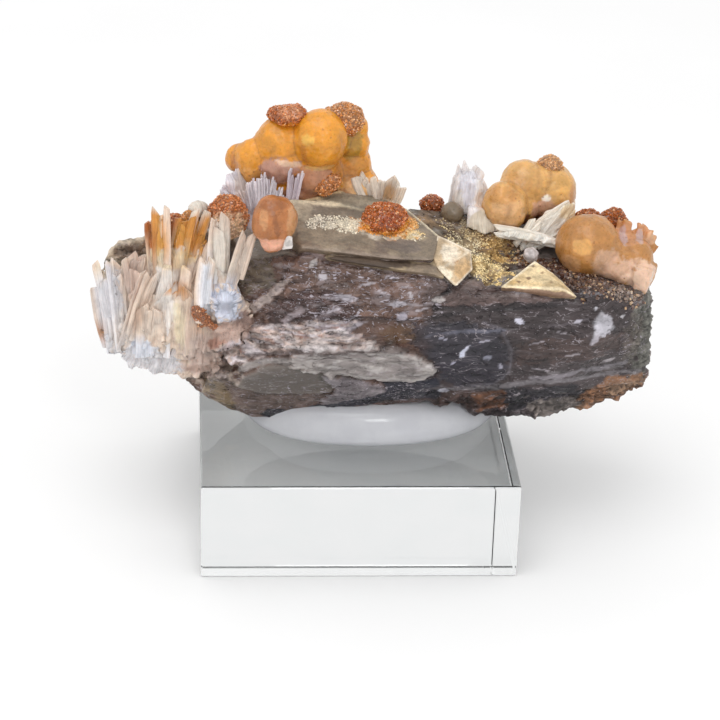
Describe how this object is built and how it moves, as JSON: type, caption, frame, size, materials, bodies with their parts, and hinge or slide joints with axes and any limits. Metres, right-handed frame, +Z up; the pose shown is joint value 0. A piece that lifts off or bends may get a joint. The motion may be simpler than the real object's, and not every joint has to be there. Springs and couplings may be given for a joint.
{
  "type": "smithsonite on fluorite mineral specimen on a display block",
  "caption": "Smoky fluorite with orange smithsonite balls, white barite blades and brown druse, set in clear gel on a clear acrylic block.",
  "frame": {"origin": "centre of the acrylic block's underside", "axes": "+Z up, +X to the right along the specimen's long side, -Y towards the show side"},
  "size_m": [0.0903, 0.05, 0.0683],
  "materials": {
    "acrylic": "polished clear acrylic",
    "gel": "soft milky clear mounting gel",
    "fluorite": "smoky purple-grey broken fluorite, glassy on its cleavage faces",
    "clear_crystal": "clear to white crystal",
    "barite": "silky white blades with rust-orange tips",
    "smithsonite": "waxy yellow-orange to tan balls",
    "druse": "sparkling red-brown sugary crystals"
  },
  "bodies": {
    "root": {"acrylic_block": "acrylic", "mounting_gel": "gel", "fluorite_matrix": "fluorite", "fluorite_small_cube": "clear_crystal", "white_chip": "clear_crystal", "barite_blade_fan": "barite", "barite_blades_right": "barite", "barite_plates_right": "barite", "barite_roof_fragment": "barite", "needle_comb": "barite", "smithsonite_peak": "smithsonite", "smithsonite_right": "smithsonite", "smithsonite_far_right": "smithsonite", "smithsonite_front_bud": "smithsonite", "smithsonite_grey_bud": "smithsonite", "druse_peak_left": "druse", "druse_peak_right": "druse", "druse_peak_tuft": "druse", "druse_roof_mound": "druse", "druse_left_dome": "druse", "druse_left_tuft": "druse", "druse_orange_tuft": "druse", "druse_right_knob": "druse", "druse_far_arc": "druse", "druse_back_tuft": "druse"}
  },
  "joints": []
}
